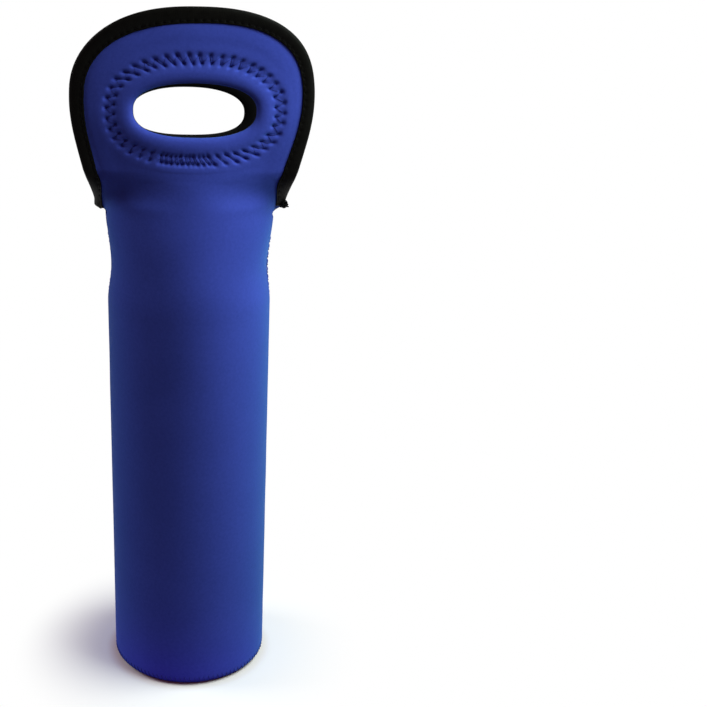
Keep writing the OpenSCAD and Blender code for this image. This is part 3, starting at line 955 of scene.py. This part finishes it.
def knot(rng):
    """Loops and loose tails of thread, wound round the foot of the tape."""
    loops, tails = 13, 5
    u = np.linspace(0, 1, 40)
    middle = np.array([MOUTH_R + 5.4, -4.8, MOUTH_Z + 4.6])
    paths = []
    for _ in range(loops):
        axis = unit(rng.normal(size=3))
        first = unit(np.cross(axis, [0.3, 0.5, 1.0]))
        second = np.cross(axis, first)
        r = rng.uniform(1.1, 1.8)
        turn = u * (rng.uniform(0.7, 1.0) * 2 * np.pi)
        wobble = 1 + 0.15 * np.sin(u * rng.uniform(8, 14) + rng.uniform(0, 6))
        shift = rng.normal(scale=0.35, size=3)
        circle = np.cos(turn)[:, None] * first + np.sin(turn)[:, None] * second
        paths.append(middle + shift + (r * wobble)[:, None] * circle)
    for _ in range(tails):
        away = unit(rng.normal(size=3) + [0.8, -0.4, -0.5])
        bow = unit(rng.normal(size=3))
        t = (u ** 1.3)[:, None]
        paths.append(middle + away * t * rng.uniform(1.8, 2.7) + bow * t ** 2 * 0.7)
    ups = np.broadcast_to([0.37, 0.61, 0.70], (len(paths), len(u), 3))
    shares = np.ones(len(u))
    shares[[0, -1]] = 0.5
    return tubes(paths, ups, 0.30, shares, 5)


def tack(name, sign, knotted):
    """Close-set stitches that lock the seam's top, and on one side the knot at their end."""
    rows = 13
    rng = np.random.default_rng(21)
    t = np.linspace(0, 1, 8)
    half = 2.2 / SLEEVE_R
    z = np.linspace(MOUTH_Z - 8.0, MOUTH_Z - 0.6, rows)
    z = z[:, None] + mix(-0.3, 0.3, t) + rng.uniform(-0.1, 0.1, (rows, 1))
    turn = np.broadcast_to(mix(-half, half, t), z.shape)
    lift = 0.5 * np.sin(np.pi * t) ** 0.6 - 0.75
    parts = [tubes(on_sleeve(z, turn, lift), outward(z, turn), 0.36, strand(len(t)))]
    if knotted:
        parts.append(knot(rng))
    points, faces = joined(parts)
    slots = [slot for slot, part in enumerate(parts) for _ in part[1]]
    return make(name, points * [sign * MM, MM, MM], faces, [blue_thread, black_thread], slots=slots)


# Name, sign of x, whether the seam ends in a knot, and how far its thread stands out near the top
for name, sign, knotted, proud in (("right", 1, True, 0.75), ("left", -1, False, 0.0)):
    seam = side_thread(name + "_seam_thread", sign, proud)
    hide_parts(name + "_side_seam")
    lock = tack(name + "_tack_thread", sign, knotted)
    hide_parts(name + "_bar_tack")
    for obj in (seam, lock):
        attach(obj, "sleeve")


# The base

def base_disc():
    """Round foam base: a rounded lower edge, and a top that dishes slightly."""
    turns = 128
    edge_in, edge_r = 37.6, 2.3
    profile = [(0, 0.0), (20, 0.0), (34, 0.0), (36.8, 0.02)]
    profile += [(edge_in + edge_r * math.sin(t), edge_r * (1 - math.cos(t)))
                for t in np.linspace(0.1, math.pi / 2, 8)]
    profile += [(39.8, 2.8), (38.6, 3.0), (37.0, 3.0), (30, 2.9), (15, 2.75), (0, 2.7)]
    profile = np.array(profile)
    a = np.arange(turns) * 2 * np.pi / turns
    r, z = profile[1:-1].T
    ring = np.stack(np.broadcast_arrays(r[:, None] * np.cos(a), r[:, None] * np.sin(a), z[:, None]), -1)
    points = np.concatenate([ring.reshape(-1, 3), [[0, 0, profile[0, 1]], [0, 0, profile[-1, 1]]]])
    faces = grid(len(r), turns, 0, True).tolist()
    bottom, top = len(points) - 2, len(points) - 1
    last = (len(r) - 1) * turns
    for k in range(turns):
        following = (k + 1) % turns
        faces.append([bottom, following, k])
        faces.append([top, last + k, last + following])
    # The upper face is black, from this height on
    black_from = 2.85
    slots = [int(np.mean([points[q, 2] for q in f]) > black_from) for f in faces]
    return make("base_disc", points * MM, faces, [blue, black], points[:, :2], slots)


def base_thread():
    """Small slanted stitches that join the sleeve to its base."""
    count = 100
    at = np.arange(count) * 2 * np.pi / count
    t = np.linspace(0, 1, 7)
    turn = at[:, None] + mix(0, 0.35, t) * 2 * np.pi / count
    z = np.broadcast_to(mix(BASE_STITCH_TOP, BASE_STITCH_LOW, t), turn.shape)
    arch, sunk = 0.28, 0.16
    lift = arch * np.sin(np.pi * t) - rolled(z) - sunk
    points, faces = tubes(on_sleeve(z, turn, lift), outward(z, turn), 0.24, strand(len(t)))
    return make("base_stitches", points * MM, faces, [blue_thread])


disc = base_disc()
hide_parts("base_panel")
stitches = base_thread()
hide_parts("base_seam")
for obj in (disc, stitches):
    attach(obj, "sleeve")


# Floor, light and camera

# Half the floor's side, and pairs of distances from the middle. Its shadow fades to white between
# those of FADE. Its glow starts between those of GLOW, so that a dark line stays under the base:
# partly the real shadow where the base touches, partly painted shade where the glow is left out.
FLOOR_HALF, FADE, GLOW = 12.0, (0.045, 0.10), (0.0405, 0.048)


def seen_by(tree, *kinds):
    """1 for rays of these kinds, such as Is Camera Ray, and 0 for all others."""
    path = tree.nodes.new("ShaderNodeLightPath")
    seen = path.outputs[kinds[0]]
    for kind in kinds[1:]:
        seen = math_node(tree, "MAXIMUM", seen, path.outputs[kind])
    return seen


def plain(tree, kind, colour):
    """A node of the given kind in one colour."""
    node = tree.nodes.new(kind)
    node.inputs["Color"].default_value = (*colour, 1)
    return node


def smooth_step(tree, value, between):
    """0 below the first of two distances, 1 above the second, and a smooth rise between them."""
    node = tree.nodes.new("ShaderNodeMapRange")
    node.interpolation_type = "SMOOTHSTEP"
    node.inputs["From Min"].default_value, node.inputs["From Max"].default_value = between
    tree.links.new(value, node.inputs["Value"])
    return node.outputs[0]


def blend_nodes(tree, fac, a, b):
    """The node a where fac is 0, and b where it is 1."""
    node = tree.nodes.new("ShaderNodeMixShader")
    for socket, v in zip(node.inputs, (fac, a.outputs[0], b.outputs[0])):
        tree.links.new(v, socket)
    return node


def floor():
    """Pale floor that keeps the shadow near the object and fades to white around it. The light
    that it gives back to the object is dimmer than it looks, and tinted."""
    mesh = bpy.data.meshes.new("floor")
    r = FLOOR_HALF
    mesh.from_pydata([(-r, -r, 0), (r, -r, 0), (r, r, 0), (-r, r, 0)], [], [(0, 1, 2, 3)])
    obj = bpy.data.objects.new("floor", mesh)
    bpy.context.scene.collection.objects.link(obj)
    m = bpy.data.materials.new("floor")
    m.use_nodes = True
    tree = m.node_tree
    tree.nodes.clear()
    out = tree.nodes.new("ShaderNodeOutputMaterial")
    length = tree.nodes.new("ShaderNodeVectorMath")
    length.operation = "LENGTH"
    tree.links.new(tree.nodes.new("ShaderNodeTexCoord").outputs["Object"], length.inputs[0])
    fade = smooth_step(tree, length.outputs["Value"], FADE)
    # Painted shade: the glow, and with it the bounce light, is left out right round the base, which darkens
    # a thin ring of floor there
    rise = smooth_step(tree, length.outputs["Value"], GLOW)
    bounce = plain(tree, "ShaderNodeEmission", (0.45, 0.15, 0.70))
    glow = plain(tree, "ShaderNodeEmission", (0.09, 0.14, 0.19))
    for light in (bounce, glow):
        tree.links.new(rise, light.inputs["Strength"])
    dim = plain(tree, "ShaderNodeBsdfDiffuse", (0.25, 0.25, 0.25))
    lit = blend_nodes(tree, fade, bounce, dim)
    near = tree.nodes.new("ShaderNodeAddShader")
    tree.links.new(plain(tree, "ShaderNodeBsdfDiffuse", (0.90, 0.87, 0.86)).outputs[0], near.inputs[0])
    tree.links.new(glow.outputs[0], near.inputs[1])
    shown = blend_nodes(tree, fade, near, plain(tree, "ShaderNodeEmission", WHITE))
    seen = seen_by(tree, "Is Camera Ray", "Is Glossy Ray", "Is Transmission Ray")
    tree.links.new(blend_nodes(tree, seen, lit, shown).outputs[0], out.inputs["Surface"])
    mesh.materials.append(m)


def world():
    """White to the camera, and a soft tinted light to the object."""
    w = bpy.data.worlds.new("studio")
    bpy.context.scene.world = w
    w.use_nodes = True
    tree = w.node_tree
    tree.nodes.clear()
    soft = plain(tree, "ShaderNodeBackground", (1.0, 0.30, 0.42))
    soft.inputs["Strength"].default_value = 0.14
    white = plain(tree, "ShaderNodeBackground", WHITE)
    seen = seen_by(tree, "Is Camera Ray", "Is Transmission Ray")
    out = tree.nodes.new("ShaderNodeOutputWorld")
    tree.links.new(blend_nodes(tree, seen, soft, white).outputs[0], out.inputs["Surface"])


def lamp(name, at, toward, size, power, colour):
    """Square lamp at one place that points toward another."""
    light = bpy.data.lights.new(name, "AREA")
    light.shape = "SQUARE"
    light.size = size
    light.energy = power
    light.color = colour
    obj = bpy.data.objects.new(name, light)
    obj.location = at
    d = np.array(toward, float) - at
    a = math.atan2(d[1], d[0])
    pitch = math.atan2(math.hypot(d[0], d[1]), -d[2])
    obj.rotation_euler = Euler((pitch, 0, a - math.pi / 2))
    bpy.context.scene.collection.objects.link(obj)


def camera():
    """The camera, as fitted to the outlines in the photograph."""
    data = bpy.data.cameras.new("camera")
    data.sensor_width = 36
    data.lens = 58.506
    data.shift_x = 0.12
    data.clip_start = 0.01
    obj = bpy.data.objects.new("camera", data)
    obj.location = (0, -0.570, 0.370)
    obj.rotation_euler = Euler([math.radians(v) for v in (71.140, -1.256, -3.746)])
    bpy.context.scene.collection.objects.link(obj)
    bpy.context.scene.camera = obj


LIT_POINT = (0, 0, 0.28)
floor()
world()
lamp("key", (0.355, -0.095, 0.609), LIT_POINT, size=0.45, power=5.0, colour=(0.95, 1.08, 1.0))
lamp("edge", (-1.023, 0.180, 0.880), LIT_POINT, size=0.5, power=5.4, colour=WHITE)
camera()
bpy.context.scene.view_settings.view_transform = "Standard"
